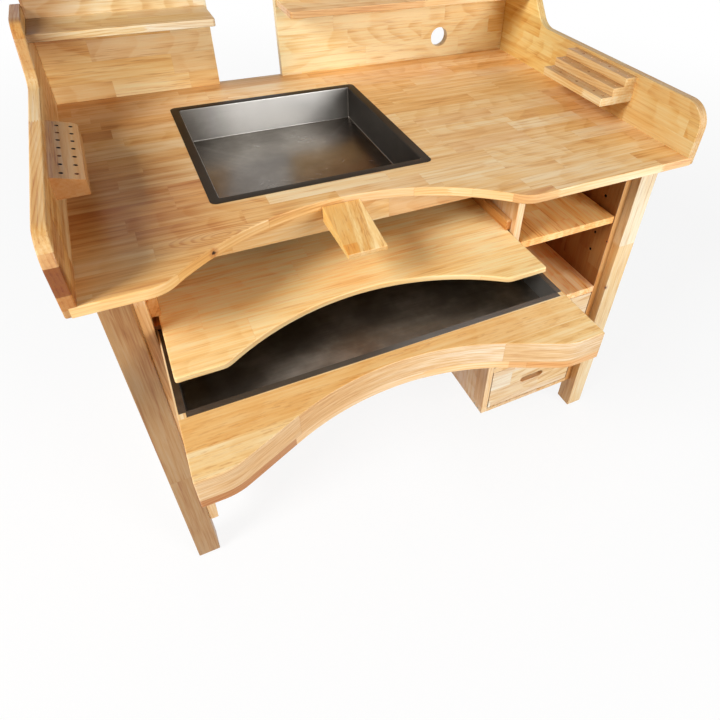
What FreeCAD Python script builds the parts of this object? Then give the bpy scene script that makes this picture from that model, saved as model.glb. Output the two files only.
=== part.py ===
import FreeCAD, Part

import math
import os

V = FreeCAD.Vector

# A jeweller's workbench: a worktop with a body cut-out on four legs, a bench pin, a pull-out arm board,
# a scrap-catching tray drawer, a two-drawer pedestal with an open compartment, and an upstand all round.
# Millimetres. X runs to the right, Y to the back, Z up; the floor is z = 0 and the bench faces -Y.
# It is drawn as it stands in use: the arm board and the tray drawer are pulled out by their pulls.

# ---- overall
WIDTH = 1200.0            # over the two cheeks
DEPTH = 750.0             # worktop, front to back
BENCH_HEIGHT = 840.0      # floor to the worktop's surface
TOP_THICK = 19.0
BOARD = 18.0              # thickness of the panels, rails and fixed boards
ARRIS = 1.5               # rounding of a board's exposed edges
TRAY_PULL = 231.0         # how far the tray drawer stands out of the worktop's front
ARM_PULL = 55.0           # how far the arm board stands out of the worktop's front

# ---- the bow that the worktop, the arm board and the tray drawer share
BOW_RADIUS = 460.0
NO_FLANK = 0.0            # the worktop's and the arm board's bows run straight into their horns
TOP_BOW_DEPTH = 132.0
TOP_BOW_HORN = 58.0       # convex rounding where the bow leaves the straight front
TOP_ARRIS = 2.5

# ---- cheeks (the side upstands)
CHEEK_THICK = 20.0
CHEEK_LAP = 8.6           # outer part that hangs over the worktop's end
CHEEK_LOW = 110.0         # front part, above the worktop
CHEEK_HIGH = 203.0        # rear part, above the worktop
CHEEK_NOSE = 50.0         # radius of the top front corner
CHEEK_SWEEP = 52.0        # radius at the foot and at the head of the riser
RISER_FOOT = 555.0        # from the front to where the riser starts
RISER_RUN = 71.0          # how far the riser leans back over its height
CHEEK_TAIL = 6.0          # radius of the lower outer corners

# ---- back upstand and its shelves
BACK_HEIGHT = 225.0
LEFT_BACK_LENGTH = 354.4
BACK_GAP = 154.3
CABLE_HOLE_R = 25.0
CABLE_HOLE_INSET = 226.0  # from the right cheek's outer face
CABLE_HOLE_RISE = 53.0
HIGH_SHELF_TOP = 178.0
HIGH_SHELF_THICK = 15.0
HIGH_SHELF_DEPTH = 110.0
HIGH_SHELF_SHORT = 4.3    # the shelf stops this much short of its back panel's end
HIGH_SHELF_CORNER = 6.0

# ---- upper pan let into the worktop
PAN_WIDTH = 398.0         # inside
PAN_LENGTH = 398.0        # inside, front to back
PAN_DEPTH = 77.0          # rim to floor
PAN_SHEET = 1.2
PAN_LIP = 18.0            # rim, from the inside of the wall
PAN_CORNER = 12.0         # rim's outer corners
PAN_BEND = 3.0            # vertical corners inside
PAN_CLEARANCE = 1.2       # wall to the cut-out in the worktop
PAN_CENTRE_X = -143.25
PAN_CENTRE_Y = 407.75     # from the worktop's front

# ---- tool racks on the cheeks
RACK_HOLE_R = 3.0
RACK_HOLES = 7
LEFT_RACK_FRONT = 203.0
LEFT_RACK_LENGTH = 218.0
LEFT_RACK_WIDTH = 48.0
LEFT_RACK_BOTTOM = 55.0
LEFT_RACK_RISE = 38.7     # height against the cheek
LEFT_RACK_FALL = 13.2     # drop of the sloping top
LEFT_RACK_CORNER = 10.0   # outer corner at the rear
LEFT_RACK_PITCH = 30.3
LEFT_RACK_ROW = 16.5      # first row from the cheek
LEFT_RACK_ROW_GAP = 20.5
LEFT_RACK_HOLE_DEPTH = 26.0
RIGHT_RACK_FRONT = 196.0
RIGHT_RACK_LENGTH = 211.0
RIGHT_RACK_BOTTOM = 48.0
RIGHT_RACK_LAYER = 18.3
RIGHT_RACK_NAMES = ("bottom", "middle", "top")
RIGHT_RACK_TREAD = 30.0
RIGHT_RACK_PITCH = 30.8
RIGHT_RACK_HOLE_DEPTH = 14.0

# ---- legs and carcass
LEG = 48.0
LEG_INSET_X = 32.0
LEG_INSET_FRONT = 50.0
LEG_INSET_BACK = 12.0
LEG_ARRIS = 2.0
FOOT_CHAMFER = 4.0
GLIDE_R = 17.0
GLIDE_THICK = 2.0
PANEL_FRONT = 72.0        # front edges of the panels, from the worktop's front
PANEL_CLEAR = 101.0       # floor to the panels' bottom edges
KNEE_WIDTH = 714.0        # between the left side panel and the pedestal
APRON_SETBACK = 1.0       # apron's face behind the deepest point of the worktop's bow
APRON_HEIGHT = 47.0
REAR_RAIL_HEIGHT = 100.0
BASE_THICK = 12.0

# ---- bench pin
PIN_WIDTH = 72.7
PIN_FRONT = 5.5
PIN_BACK_DROP = 10.0      # top at the back, below the worktop's surface
PIN_FRONT_DROP = 33.0     # top at the front, below the worktop's surface
PIN_UNDER_DROP = 42.0
PIN_TENON_WIDTH = 44.0
PIN_TENON_HEIGHT = 12.0
PIN_CLEARANCE = 0.3

# ---- arm board
ARM_THICK = 12.0
ARM_TOP_DROP = 134.0
ARM_DEPTH = 400.0
ARM_BOW_DEPTH = 84.0
ARM_BOW_HORN = 32.0
ARM_CORNER = 4.0
ARM_GAP_LEFT = 11.0
ARM_GAP_RIGHT = 6.0
ARM_ARRIS = 2.5
ARM_RUNNER_WIDTH = 17.0
ARM_RUNNER_THICK = 9.0
GUIDE_PLAY = 0.5          # guide strip to the board under it
LEFT_GUIDE_WIDTH = 17.0
LEFT_GUIDE_HEIGHT = 39.0
LEFT_GUIDE_FRONT = 98.0
RIGHT_GUIDE_WIDTH = 13.0
RIGHT_GUIDE_HEIGHT = 24.0
RIGHT_GUIDE_FRONT = 84.0
RUNNER_BACK_GAP = 8.0     # runners stop this far before the rear rails

# ---- tray drawer
TRAY_TOP_DROP = 158.0
TRAY_DRAWER_GAP = 1.5     # each side, to the knee bay's walls
TRAY_DRAWER_LENGTH = 640.0
TRAY_FRONT_DEPTH = 115.0
TRAY_PLANK_HEIGHT = 45.0
TRAY_FLOOR_THICK = 17.0
TRAY_BOW_DEPTH = 89.0
TRAY_BOW_FLANK = 94.0     # straight part of the bow between its arc and each horn
TRAY_BOW_HORN = 90.0
TRAY_BOW_SHIFT = -8.0     # its middle, from the middle of the knee bay
TRAY_CORNER = 2.5
TRAY_ARRIS = 2.0
TRAY_WALL = 12.0
TRAY_FRONT_WALL = 10.0
TRAY_SHEET = 1.0
TRAY_LIP = 10.0
TRAY_CLEARANCE = 0.5      # sheet to the drawer's walls
TRAY_RUNNER_WIDTH = 20.0
TRAY_RUNNER_HEIGHT = 18.0

# ---- pedestal
SHELF_TOP_DROP = 166.5
SHELF_PLAY = 3.0          # each side
SHELF_BACK_GAP = 6.0
SHELF_PIN_R = 3.5
SHELF_PIN_FIT = 0.05
SHELF_PIN_SINK = 10.0
SHELF_PIN_REACH = 10.0
SHELF_PIN_INSET = 46.0    # from the panel's front edge
SHELF_PIN_BACK = 80.0     # from the pedestal's back
SHELF_PITCH = 50.6
SHELF_ROWS_UP = 1
SHELF_ROWS_DOWN = 2
DRAWER_GAP = 2.0          # round a drawer front
UPPER_FRONT_HEIGHT = 165.5
LOWER_FRONT_HEIGHT = 140.5
FRONT_ARRIS = 1.5
SLOT_LENGTH = 75.0
SLOT_HEIGHT = 20.0
DRAWER_WALL = 12.0
DRAWER_LENGTH = 560.0     # front face to the back of the box
DRAWER_HEADROOM = 28.0    # side walls below the top of the front
DRAWER_FLOOR = 6.0
DRAWER_FLOOR_RISE = 8.0
RAIL_DEPTH = 60.0
RUNNER_WIDTH = 16.0
SCREW_HEAD_R = 3.5
SCREW_HEAD_SINK = 2.0
SCREW_R = 2.0
SCREW_LENGTH = 40.0
SCREW_INSET = 17.0        # first screw from the front edge and from the back board
SCREW_PITCH = 18.0

# ---- how edges are told apart when they are eased
NO_LENGTH = 0.01          # an edge shorter than this in a direction doesn't run that way
NEAR = 1.0                # an edge this close to a face belongs to it

# ---- faces that the pieces share
LEFT = -WIDTH / 2
RIGHT = WIDTH / 2
FRONT = (TRAY_PULL - DEPTH) / 2
BACK = FRONT + DEPTH
TOP = BENCH_HEIGHT
UNDER = TOP - TOP_THICK
CHEEK_IN_LEFT = LEFT + CHEEK_THICK
CHEEK_IN_RIGHT = RIGHT - CHEEK_THICK
BACK_FACE = BACK - BOARD
KNEE_LEFT = LEFT + LEG_INSET_X + LEG + BOARD
KNEE_RIGHT = KNEE_LEFT + KNEE_WIDTH
KNEE_MID = (KNEE_LEFT + KNEE_RIGHT) / 2
PED_LEFT = KNEE_RIGHT + BOARD
PED_RIGHT = RIGHT - LEG_INSET_X - LEG - BOARD
PANEL_Y = FRONT + PANEL_FRONT
CARCASS_BACK = BACK - LEG_INSET_BACK
REAR_FACE = CARCASS_BACK - BOARD
RUNNER_END = REAR_FACE - RUNNER_BACK_GAP
APRON_Y = FRONT + TOP_BOW_DEPTH + APRON_SETBACK
ARM_TOP = TOP - ARM_TOP_DROP
ARM_UNDER = ARM_TOP - ARM_THICK
TRAY_TOP = TOP - TRAY_TOP_DROP
TRAY_FLOOR_TOP = TRAY_TOP - TRAY_PLANK_HEIGHT
TRAY_UNDER = TRAY_FLOOR_TOP - TRAY_FLOOR_THICK
TRAY_Y = FRONT - TRAY_PULL
TRAY_END = TRAY_Y + TRAY_DRAWER_LENGTH
TRAY_LEFT = KNEE_LEFT + TRAY_DRAWER_GAP
TRAY_RIGHT = KNEE_RIGHT - TRAY_DRAWER_GAP
TRAY_BOX_Y = TRAY_Y + TRAY_FRONT_DEPTH
BASE_TOP = PANEL_CLEAR + BASE_THICK
LOWER_FRONT_Z = BASE_TOP + DRAWER_GAP
RAIL_UNDER = LOWER_FRONT_Z + LOWER_FRONT_HEIGHT + DRAWER_GAP
RAIL_TOP = RAIL_UNDER + BOARD
UPPER_FRONT_Z = RAIL_TOP + DRAWER_GAP
COMPARTMENT_UNDER = UPPER_FRONT_Z + UPPER_FRONT_HEIGHT + DRAWER_GAP
COMPARTMENT_FLOOR = COMPARTMENT_UNDER + BOARD
SHELF_UNDER = TOP - SHELF_TOP_DROP - BOARD
PIN_ROW = SHELF_UNDER - SHELF_PIN_R
TOP_BOW = (TOP_BOW_DEPTH, NO_FLANK, TOP_BOW_HORN)
ARM_BOW = (ARM_BOW_DEPTH, NO_FLANK, ARM_BOW_HORN)
TRAY_BOW = (TRAY_BOW_DEPTH, TRAY_BOW_FLANK, TRAY_BOW_HORN)
TRAY_BOW_MID = KNEE_MID + TRAY_BOW_SHIFT
SAME_POINT = 0.001        # two points nearer than this are one


# ---- helpers

def box(x0, x1, y0, y1, z0, z1):
    """A square-edged board between three pairs of limits."""
    return Part.makeBox(x1 - x0, y1 - y0, z1 - z0, V(x0, y0, z0))


def eased(solid, radius, picks=None):
    """The solid with its arrises rounded: all of them, or those that picks(bounding box) accepts."""
    edges = [edge for edge in solid.Edges if picks is None or picks(edge.BoundBox)]
    return solid.makeFillet(radius, edges)


def board(x0, x1, y0, y1, z0, z1):
    """A board with every arris eased."""
    return eased(box(x0, x1, y0, y1, z0, z1), ARRIS)


def outline(corners):
    """Closed wire through (point, radius) corners, each turned by an arc tangent to its two sides."""
    arcs = []
    for i, (point, radius) in enumerate(corners):
        before = (corners[i - 1][0] - point).normalize()
        after = (corners[(i + 1) % len(corners)][0] - point).normalize()
        half = before.getAngle(after) / 2
        reach = radius / math.tan(half)
        middle = (before + after).normalize() * (radius / math.sin(half) - radius)
        arcs.append((point + before * reach, point + middle, point + after * reach, radius))
    edges = []
    for i, (start, middle, end, radius) in enumerate(arcs):
        if radius > 0:
            edges.append(Part.Arc(start, middle, end).toShape())
        leg = arcs[(i + 1) % len(arcs)][0]
        if end.distanceToPoint(leg) > SAME_POINT:
            edges.append(Part.LineSegment(end, leg).toShape())
    return Part.Wire(Part.sortEdges(edges)[0])


def slab(wire, along):
    """The solid that a closed flat wire sweeps along a vector."""
    return Part.Face(wire).extrude(along)


def bowed_slab(x0, x1, y0, y1, z0, z1, middle, bow, corner):
    """A board with the shared bow cut into its front edge.

    bow is (depth, flank, horn): an arc of BOW_RADIUS that reaches depth behind the front edge y0, a
    straight flank of that length on each side, and a convex arc of radius horn out to the front edge.
    """
    depth, flank, horn = bow
    both = BOW_RADIUS + horn
    lean = math.acos((both - depth) / math.hypot(both, flank)) - math.atan2(flank, both)
    half_mouth = both * math.sin(lean) + flank * math.cos(lean) - horn * math.tan(lean / 2)
    corners = [
        (V(x0, y0, z0), corner),
        (V(middle - half_mouth, y0, z0), horn),
        (V(middle, y0 + half_mouth * math.tan(lean), z0), BOW_RADIUS),
        (V(middle + half_mouth, y0, z0), horn),
        (V(x1, y0, z0), corner),
        (V(x1, y1, z0), 0),
        (V(x0, y1, z0), 0),
    ]
    return slab(outline(corners), V(0, 0, z1 - z0))


def save(node, *solids):
    """Write one named piece, or a few identical ones, as a STEP file."""
    shape = solids[0] if len(solids) == 1 else Part.makeCompound(list(solids))
    shape.exportStep("parts/" + node + ".step")


# ---- worktop and what stands on it

def make_worktop():
    """One edge-glued board: bowed front, square cut-out for the pan, ends let into the cheeks."""
    end = CHEEK_LAP
    top = bowed_slab(LEFT + end, RIGHT - end, FRONT, BACK, UNDER, TOP, KNEE_MID, TOP_BOW, 0)
    bow_end = FRONT + TOP_BOW_DEPTH + NEAR
    top = eased(top, TOP_ARRIS, lambda b: b.ZLength < NO_LENGTH and b.YMax < bow_end and b.XLength > NEAR)
    half_x = PAN_WIDTH / 2 + PAN_SHEET + PAN_CLEARANCE
    half_y = PAN_LENGTH / 2 + PAN_SHEET + PAN_CLEARANCE
    pan_y = FRONT + PAN_CENTRE_Y
    x0 = PAN_CENTRE_X - half_x
    x1 = PAN_CENTRE_X + half_x
    save("worktop", top.cut(box(x0, x1, pan_y - half_y, pan_y + half_y, UNDER, TOP)))


def make_cheek(node, outer, inward):
    """Side upstand: low at the front, swept up to the back, lapping over the worktop's end."""
    def at(y, z):
        return V(outer, FRONT + y, TOP + z)

    corners = [
        (at(0, -TOP_THICK), CHEEK_TAIL),
        (at(0, CHEEK_LOW), CHEEK_NOSE),
        (at(RISER_FOOT, CHEEK_LOW), CHEEK_SWEEP),
        (at(RISER_FOOT + RISER_RUN, CHEEK_HIGH), CHEEK_SWEEP),
        (at(DEPTH, CHEEK_HIGH), CHEEK_TAIL),
        (at(DEPTH, -TOP_THICK), CHEEK_TAIL),
    ]
    cheek = slab(outline(corners), V(inward * CHEEK_THICK, 0, 0))
    cheek = eased(cheek, TOP_ARRIS, lambda b: b.XLength < NO_LENGTH)
    x0, x1 = sorted((outer + inward * CHEEK_LAP, outer + inward * CHEEK_THICK))
    save(node, cheek.cut(box(x0, x1, FRONT, BACK, UNDER, TOP)))


def make_back_panels():
    """Two back upstands with a gap between them; the right one has a cable hole."""
    left_end = CHEEK_IN_LEFT + LEFT_BACK_LENGTH
    right_end = left_end + BACK_GAP
    save("left_back_panel", board(CHEEK_IN_LEFT, left_end, BACK_FACE, BACK, TOP, TOP + BACK_HEIGHT))
    right = board(right_end, CHEEK_IN_RIGHT, BACK_FACE, BACK, TOP, TOP + BACK_HEIGHT)
    hole_at = V(RIGHT - CABLE_HOLE_INSET, BACK_FACE, TOP + CABLE_HOLE_RISE)
    save("right_back_panel", right.cut(Part.makeCylinder(CABLE_HOLE_R, BOARD, hole_at, V(0, 1, 0))))


def make_high_shelf(node, fixed_x, free_x):
    """Narrow shelf between a cheek and its back panel, with its free front corner rounded."""
    z1 = TOP + HIGH_SHELF_TOP
    front_y = BACK_FACE - HIGH_SHELF_DEPTH
    corners = [
        (V(fixed_x, front_y, z1), 0),
        (V(free_x, front_y, z1), HIGH_SHELF_CORNER),
        (V(free_x, BACK_FACE, z1), 0),
        (V(fixed_x, BACK_FACE, z1), 0),
    ]
    shelf = slab(outline(corners), V(0, 0, -HIGH_SHELF_THICK))
    save(node, eased(shelf, ARRIS, lambda b: b.ZLength < NO_LENGTH and b.YMin < front_y + NEAR))


def make_upper_pan():
    """Folded steel pan hung by its rim in the worktop's cut-out."""
    x0 = PAN_CENTRE_X - PAN_WIDTH / 2
    y0 = FRONT + PAN_CENTRE_Y - PAN_LENGTH / 2
    x1 = x0 + PAN_WIDTH
    y1 = y0 + PAN_LENGTH
    rim_top = TOP + PAN_SHEET
    floor_top = rim_top - PAN_DEPTH
    rim = box(x0 - PAN_LIP, x1 + PAN_LIP, y0 - PAN_LIP, y1 + PAN_LIP, TOP, rim_top)
    rim = eased(rim, PAN_CORNER, upright)
    wall = box(x0 - PAN_SHEET, x1 + PAN_SHEET, y0 - PAN_SHEET, y1 + PAN_SHEET, floor_top - PAN_SHEET, TOP)
    wall = eased(wall, PAN_BEND + PAN_SHEET, upright)
    inside = eased(box(x0, x1, y0, y1, floor_top, rim_top + PAN_SHEET), PAN_BEND, upright)
    save("upper_pan", rim.fuse(wall).removeSplitter().cut(inside))


def upright(bounds):
    """Whether an edge is vertical."""
    return bounds.XLength < NO_LENGTH and bounds.YLength < NO_LENGTH


def hole_row(x, y0, pitch, z_mouth, depth):
    """Cutters for one row of tool holes, open upwards at z_mouth."""
    return [Part.makeCylinder(RACK_HOLE_R, depth, V(x, y0 + i * pitch, z_mouth - depth))
            for i in range(RACK_HOLES)]


def row_start(front, length, pitch):
    """Y of the first hole of a row centred on its rack."""
    return front + (length - (RACK_HOLES - 1) * pitch) / 2


def make_left_rack():
    """Wedge-topped tool block on the left cheek: two rows of holes."""
    y0 = FRONT + LEFT_RACK_FRONT
    y1 = y0 + LEFT_RACK_LENGTH
    bottom = TOP + LEFT_RACK_BOTTOM
    high = bottom + LEFT_RACK_RISE
    x0 = CHEEK_IN_LEFT
    x1 = x0 + LEFT_RACK_WIDTH
    corners = [
        (V(x0, y0, bottom), 0),
        (V(x1, y0, bottom), 0),
        (V(x1, y0, high - LEFT_RACK_FALL), 0),
        (V(x0, y0, high), 0),
    ]
    block = slab(outline(corners), V(0, y1 - y0, 0))
    block = eased(block, LEFT_RACK_CORNER,
                  lambda b: upright(b) and abs(b.XMin - x1) < NO_LENGTH and b.YMin > y0 + NEAR)
    first = row_start(y0, LEFT_RACK_LENGTH, LEFT_RACK_PITCH)
    for row in range(2):
        x = x0 + LEFT_RACK_ROW + row * LEFT_RACK_ROW_GAP
        surface = high - LEFT_RACK_FALL * (x - x0) / LEFT_RACK_WIDTH
        mouth = surface + RACK_HOLE_R
        for cutter in hole_row(x, first, LEFT_RACK_PITCH, mouth, LEFT_RACK_HOLE_DEPTH + RACK_HOLE_R):
            block = block.cut(cutter)
    save("left_tool_rack", block)


def make_right_rack():
    """Stepped tool rack on the right cheek: three boards, each with a row of holes in its tread."""
    y0 = FRONT + RIGHT_RACK_FRONT
    y1 = y0 + RIGHT_RACK_LENGTH
    first = row_start(y0, RIGHT_RACK_LENGTH, RIGHT_RACK_PITCH)
    for level, name in enumerate(RIGHT_RACK_NAMES):
        treads = len(RIGHT_RACK_NAMES) - level
        x0 = CHEEK_IN_RIGHT - treads * RIGHT_RACK_TREAD
        z0 = TOP + RIGHT_RACK_BOTTOM + level * RIGHT_RACK_LAYER
        z1 = z0 + RIGHT_RACK_LAYER
        layer = box(x0, CHEEK_IN_RIGHT, y0, y1, z0, z1)
        layer = eased(layer, ARRIS, lambda b: abs(b.XMax - x0) < NO_LENGTH)
        for cutter in hole_row(x0 + RIGHT_RACK_TREAD / 2, first, RIGHT_RACK_PITCH, z1, RIGHT_RACK_HOLE_DEPTH):
            layer = layer.cut(cutter)
        save("right_tool_rack_" + name, layer)


# ---- carcass

def make_legs():
    """Four square legs with chamfered feet, on glides."""
    left_x = LEFT + LEG_INSET_X
    right_x = RIGHT - LEG_INSET_X - LEG
    front_y = FRONT + LEG_INSET_FRONT
    rear_y = CARCASS_BACK - LEG
    glides = []
    for side, x in (("left", left_x), ("right", right_x)):
        for end, y in (("front", front_y), ("rear", rear_y)):
            leg = box(x, x + LEG, y, y + LEG, GLIDE_THICK, UNDER)
            leg = leg.makeChamfer(FOOT_CHAMFER, [e for e in leg.Edges if e.BoundBox.ZMax < GLIDE_THICK + NEAR])
            leg = eased(leg, LEG_ARRIS, upright)
            save(end + "_" + side + "_leg", leg)
            glides.append(Part.makeCylinder(GLIDE_R, GLIDE_THICK, V(x + LEG / 2, y + LEG / 2, 0)))
    save("foot_glides", *glides)


def screw_places():
    """(y, side wall's outer x, direction into the pedestal) of each base-board screw."""
    far = REAR_FACE - SCREW_INSET
    near = PANEL_Y + SCREW_INSET
    rows = [near, near + SCREW_PITCH, far - SCREW_PITCH, far]
    return [(y, KNEE_RIGHT, 1) for y in rows] + [(y, PED_RIGHT + BOARD, -1) for y in rows]


def base_screw(y, x, inward):
    """Countersunk screw through a side wall into the end of the base board."""
    start = V(x, y, PANEL_CLEAR + BASE_THICK / 2)
    head = Part.makeCone(SCREW_HEAD_R, SCREW_R, SCREW_HEAD_SINK, start, V(inward, 0, 0))
    return head.fuse(Part.makeCylinder(SCREW_R, SCREW_LENGTH, start, V(inward, 0, 0))).removeSplitter()


def pin_rows():
    """(y, z) of every shelf-pin hole in a pedestal wall."""
    ys = (PANEL_Y + SHELF_PIN_INSET, REAR_FACE - SHELF_PIN_BACK)
    levels = range(-SHELF_ROWS_DOWN, SHELF_ROWS_UP + 1)
    return [(y, PIN_ROW + level * SHELF_PITCH) for y in ys for level in levels]


def make_walls(screws):
    """Left side panel, pedestal divider and right side panel."""
    left = board(KNEE_LEFT - BOARD, KNEE_LEFT, PANEL_Y, CARCASS_BACK, PANEL_CLEAR, UNDER)
    save("left_side_panel", left)
    for node, x0, face, into in (
        ("pedestal_divider", KNEE_RIGHT, PED_LEFT, -1),
        ("right_side_panel", PED_RIGHT, PED_RIGHT, 1),
    ):
        wall = board(x0, x0 + BOARD, PANEL_Y, CARCASS_BACK, PANEL_CLEAR, UNDER)
        for y, z in pin_rows():
            hole = Part.makeCylinder(SHELF_PIN_R + SHELF_PIN_FIT, SHELF_PIN_SINK,
                                     V(face, y, z), V(into, 0, 0))
            wall = wall.cut(hole)
        save(node, wall.cut(screws))


def make_shelf_pins():
    """The four pins under the adjustable shelf, one in each wall at the front and at the back."""
    length = SHELF_PIN_SINK + SHELF_PIN_REACH
    pins = []
    for y in (PANEL_Y + SHELF_PIN_INSET, REAR_FACE - SHELF_PIN_BACK):
        from_left = V(PED_LEFT - SHELF_PIN_SINK, y, PIN_ROW)
        from_right = V(PED_RIGHT + SHELF_PIN_SINK, y, PIN_ROW)
        pins.append(Part.makeCylinder(SHELF_PIN_R, length, from_left, V(1, 0, 0)))
        pins.append(Part.makeCylinder(SHELF_PIN_R, length, from_right, V(-1, 0, 0)))
    save("shelf_pins", *pins)


def make_fixed_boards(screws):
    """Boards and rails that tie the walls together."""
    save("pedestal_back", box(PED_LEFT, PED_RIGHT, REAR_FACE, CARCASS_BACK, PANEL_CLEAR, UNDER))
    high_foot = UNDER - REAR_RAIL_HEIGHT
    save("rear_upper_rail", box(KNEE_LEFT, KNEE_RIGHT, REAR_FACE, CARCASS_BACK, high_foot, UNDER))
    low_top = PANEL_CLEAR + REAR_RAIL_HEIGHT
    save("rear_lower_rail", board(KNEE_LEFT, KNEE_RIGHT, REAR_FACE, CARCASS_BACK, PANEL_CLEAR, low_top))
    floor = box(PED_LEFT, PED_RIGHT, PANEL_Y, REAR_FACE, COMPARTMENT_UNDER, COMPARTMENT_FLOOR)
    save("compartment_floor", eased(floor, ARRIS, lambda b: b.XLength > NEAR and b.YMax < PANEL_Y + NEAR))
    shelf = board(PED_LEFT + SHELF_PLAY, PED_RIGHT - SHELF_PLAY, PANEL_Y, REAR_FACE - SHELF_BACK_GAP,
                  SHELF_UNDER, SHELF_UNDER + BOARD)
    save("adjustable_shelf", shelf)
    rail = box(PED_LEFT, PED_RIGHT, PANEL_Y, PANEL_Y + RAIL_DEPTH, RAIL_UNDER, RAIL_TOP)
    save("drawer_rail", rail)
    base = box(PED_LEFT, PED_RIGHT, PANEL_Y, REAR_FACE, PANEL_CLEAR, BASE_TOP)
    save("pedestal_base", base.cut(screws))
    runner_y = PANEL_Y + RAIL_DEPTH
    save("upper_drawer_left_runner",
         box(PED_LEFT, PED_LEFT + RUNNER_WIDTH, runner_y, RUNNER_END, RAIL_UNDER, RAIL_TOP))
    save("upper_drawer_right_runner",
         box(PED_RIGHT - RUNNER_WIDTH, PED_RIGHT, runner_y, RUNNER_END, RAIL_UNDER, RAIL_TOP))


# ---- apron and bench pin

def tenon_box(play):
    """The pin's tenon, or with some play the mortise for it, through the apron."""
    middle = (PIN_BACK_DROP + TOP_THICK + PIN_UNDER_DROP) / 2
    z1 = TOP - middle + PIN_TENON_HEIGHT / 2
    half = PIN_TENON_WIDTH / 2 + play
    return box(KNEE_MID - half, KNEE_MID + half, APRON_Y, APRON_Y + BOARD, z1 - PIN_TENON_HEIGHT, z1 + play)


def make_apron():
    """Rail under the worktop's bow, with the mortise that holds the bench pin."""
    rail = box(KNEE_LEFT, KNEE_RIGHT, APRON_Y, APRON_Y + BOARD, UNDER - APRON_HEIGHT, UNDER)
    save("apron_rail", rail.cut(tenon_box(PIN_CLEARANCE)))


def make_bench_pin():
    """Wedge that the work is held against: flat below, sloping down to a thin nose."""
    half = PIN_WIDTH / 2
    edge_y = FRONT + TOP_BOW_DEPTH - BOW_RADIUS + math.sqrt(BOW_RADIUS ** 2 - half ** 2)
    back_y = edge_y - PIN_CLEARANCE
    front_y = FRONT + PIN_FRONT
    x0 = KNEE_MID - half
    corners = [
        (V(x0, front_y, TOP - PIN_UNDER_DROP), 0),
        (V(x0, back_y, TOP - PIN_UNDER_DROP), 0),
        (V(x0, back_y, TOP - PIN_BACK_DROP), 0),
        (V(x0, front_y, TOP - PIN_FRONT_DROP), 0),
    ]
    wedge = eased(slab(outline(corners), V(PIN_WIDTH, 0, 0)), ARRIS)
    tenon = tenon_box(0)
    bounds = tenon.BoundBox
    neck = box(bounds.XMin, bounds.XMax, back_y - BOARD, bounds.YMax, bounds.ZMin, bounds.ZMax)
    save("bench_pin", wedge.fuse(neck).removeSplitter())


# ---- arm board

def make_arm_board():
    """Pull-out board for the forearms, on two runners and held down by two guide strips."""
    y0 = FRONT - ARM_PULL
    arm = bowed_slab(KNEE_LEFT + ARM_GAP_LEFT, KNEE_RIGHT - ARM_GAP_RIGHT, y0, y0 + ARM_DEPTH,
                     ARM_UNDER, ARM_TOP, KNEE_MID, ARM_BOW, ARM_CORNER)
    save("arm_board", eased(arm, ARM_ARRIS, lambda b: b.ZLength < NO_LENGTH))


def make_arm_runners():
    """Runners under the arm board and guide strips over it, on both walls of the knee bay."""
    z0 = ARM_UNDER - ARM_RUNNER_THICK
    guide = ARM_TOP + GUIDE_PLAY
    save("left_arm_runner",
         box(KNEE_LEFT, KNEE_LEFT + ARM_RUNNER_WIDTH, PANEL_Y + BOARD, RUNNER_END, z0, ARM_UNDER))
    save("right_arm_runner",
         box(KNEE_RIGHT - ARM_RUNNER_WIDTH, KNEE_RIGHT, PANEL_Y + BOARD, RUNNER_END, z0, ARM_UNDER))
    save("left_guide_strip",
         board(KNEE_LEFT, KNEE_LEFT + LEFT_GUIDE_WIDTH, FRONT + LEFT_GUIDE_FRONT, RUNNER_END,
               guide, guide + LEFT_GUIDE_HEIGHT))
    save("right_guide_strip",
         board(KNEE_RIGHT - RIGHT_GUIDE_WIDTH, KNEE_RIGHT, FRONT + RIGHT_GUIDE_FRONT, RUNNER_END,
               guide, guide + RIGHT_GUIDE_HEIGHT))


# ---- tray drawer

def make_tray_drawer():
    """Shallow drawer across the knee bay: bowed floor board and front plank, and three low walls."""
    floor = bowed_slab(TRAY_LEFT, TRAY_RIGHT, TRAY_Y, TRAY_END, TRAY_UNDER, TRAY_FLOOR_TOP,
                       TRAY_BOW_MID, TRAY_BOW, TRAY_CORNER)
    bow_end = TRAY_Y + TRAY_BOW_DEPTH + NEAR
    save("tray_drawer_floor",
         eased(floor, TRAY_ARRIS, lambda b: b.ZMax < TRAY_UNDER + NEAR and b.YMax < bow_end))
    plank = bowed_slab(TRAY_LEFT, TRAY_RIGHT, TRAY_Y, TRAY_BOX_Y, TRAY_FLOOR_TOP, TRAY_TOP,
                       TRAY_BOW_MID, TRAY_BOW, TRAY_CORNER)
    save("tray_drawer_front",
         eased(plank, TRAY_ARRIS, lambda b: b.ZMin > TRAY_TOP - NEAR and b.YMax < bow_end))
    left_in = TRAY_LEFT + TRAY_WALL
    right_in = TRAY_RIGHT - TRAY_WALL
    rail_end = TRAY_BOX_Y + TRAY_FRONT_WALL
    save("tray_drawer_left_side", box(TRAY_LEFT, left_in, TRAY_BOX_Y, TRAY_END, TRAY_FLOOR_TOP, TRAY_TOP))
    save("tray_drawer_right_side", box(right_in, TRAY_RIGHT, TRAY_BOX_Y, TRAY_END, TRAY_FLOOR_TOP, TRAY_TOP))
    save("tray_drawer_inner_front", box(left_in, right_in, TRAY_BOX_Y, rail_end, TRAY_FLOOR_TOP, TRAY_TOP))
    save("tray_drawer_back", box(left_in, right_in, TRAY_END - TRAY_WALL, TRAY_END, TRAY_FLOOR_TOP, TRAY_TOP))


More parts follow.
